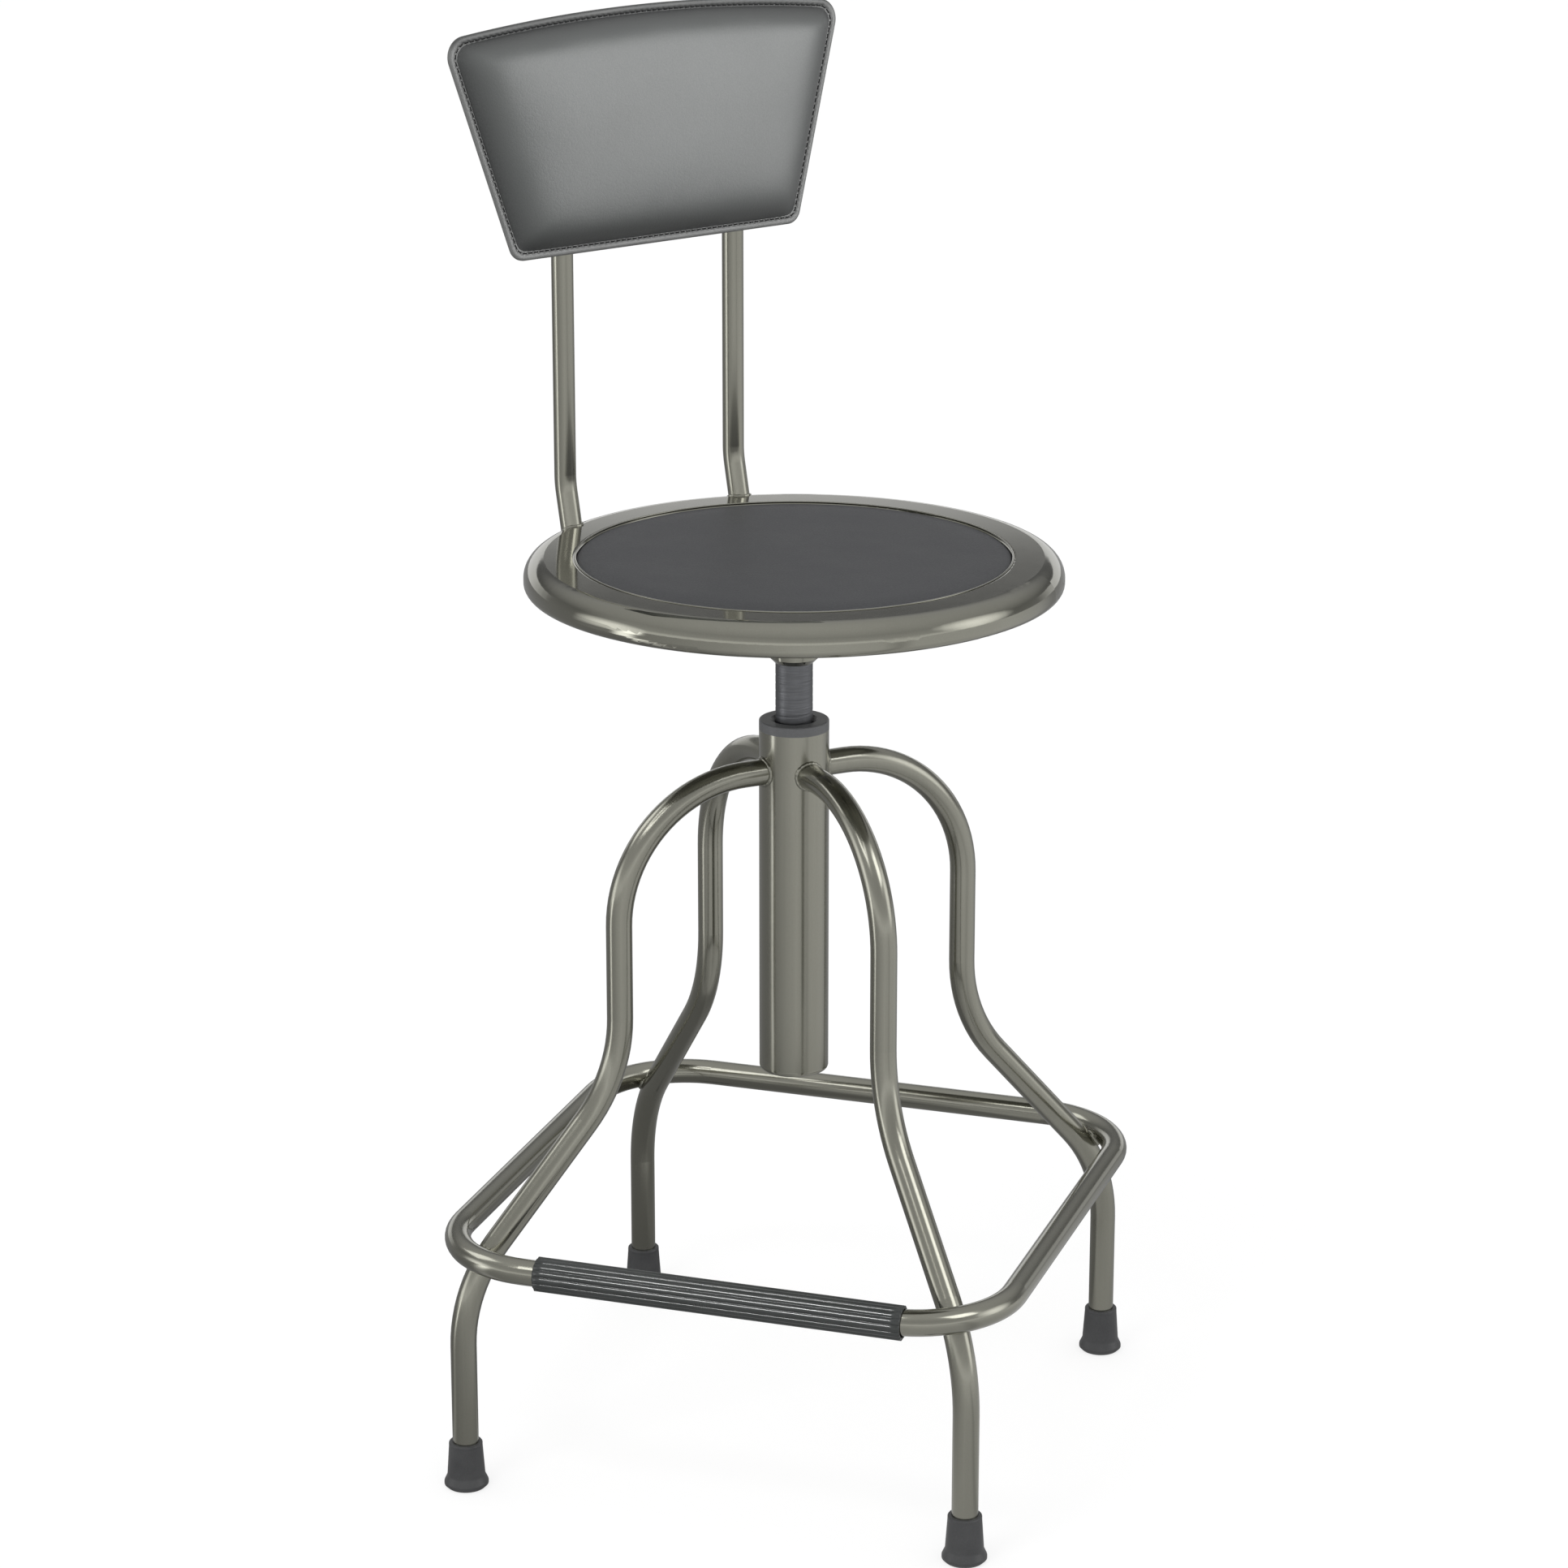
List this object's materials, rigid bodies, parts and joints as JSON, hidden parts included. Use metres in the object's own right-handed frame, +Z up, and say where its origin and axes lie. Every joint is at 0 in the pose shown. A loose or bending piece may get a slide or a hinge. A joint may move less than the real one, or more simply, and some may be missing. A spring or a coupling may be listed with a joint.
{
  "type": "drafting chair",
  "caption": "Screw-lift drafting chair: round padded steel seat, padded back on two posts, four bent tube legs and a square foot ring.",
  "frame": {"origin": "on the floor, on the column's axis", "axes": "+Z up along the column; -Y towards the foot ring's tread side; +X to the right seen from that side. At rest the seat is stored turned 55.5 degrees about +Z."},
  "size_m": [0.461, 0.4621, 1.043],
  "materials": {
    "pewter_coat": "glossy pewter coat",
    "blackened_steel": "satin charcoal",
    "collar_plastic": "satin",
    "nylon": "satin",
    "zinc_steel": "zinc plated",
    "tread_rubber": "ribbed, satin",
    "foot_rubber": "smooth, satin",
    "plywood": "raw",
    "foam": "open cell foam",
    "seat_vinyl": "fine grain vinyl",
    "back_vinyl": "fine grain vinyl"
  },
  "bodies": {
    "base": {"centre_column": "pewter_coat", "column_end_cap": "pewter_coat", "column_collar": "collar_plastic", "lift_nut": "zinc_steel", "leg_front_left": "pewter_coat", "leg_front_right": "pewter_coat", "leg_back_right": "pewter_coat", "leg_back_left": "pewter_coat", "foot_ring": "pewter_coat", "footrest_tread": "tread_rubber", "foot_tip_front_left": "foot_rubber", "foot_tip_front_right": "foot_rubber", "foot_tip_back_right": "foot_rubber", "foot_tip_back_left": "foot_rubber", "foot_washers": "zinc_steel"},
    "guide": {"spindle_guide_bush": "nylon"},
    "seat": {"lift_spindle": "blackened_steel", "guide_washer": "zinc_steel", "guide_bolt": "zinc_steel", "seat_hub": "pewter_coat", "seat_mount_plate": "pewter_coat", "seat_bolts": "zinc_steel", "seat_t_nuts": "zinc_steel", "seat_pan": "pewter_coat", "seat_board": "plywood", "seat_foam": "foam", "seat_cover": "seat_vinyl", "back_post_left": "pewter_coat", "back_post_right": "pewter_coat", "back_t_nuts": "zinc_steel", "back_screws": "zinc_steel", "back_board": "plywood", "back_foam_front": "foam", "back_foam_rear": "foam", "back_cover_front": "back_vinyl", "back_cover_rear": "back_vinyl"}
  },
  "joints": [
    {"name": "seat_lift", "type": "slide", "parent": "base", "child": "guide", "axis": [0, 0, 1], "range_m": [-0.0361, 0.0901]},
    {"name": "seat_turn", "type": "hinge", "parent": "guide", "child": "seat", "pos_m": [0, 0, 0.4], "axis": [0, 0, 1], "range_deg": [-2160, 5400]}
  ],
  "couplings": [
    {"joint": "seat_lift", "follows": "seat_turn", "m_per_rad": 0.00095493}
  ]
}
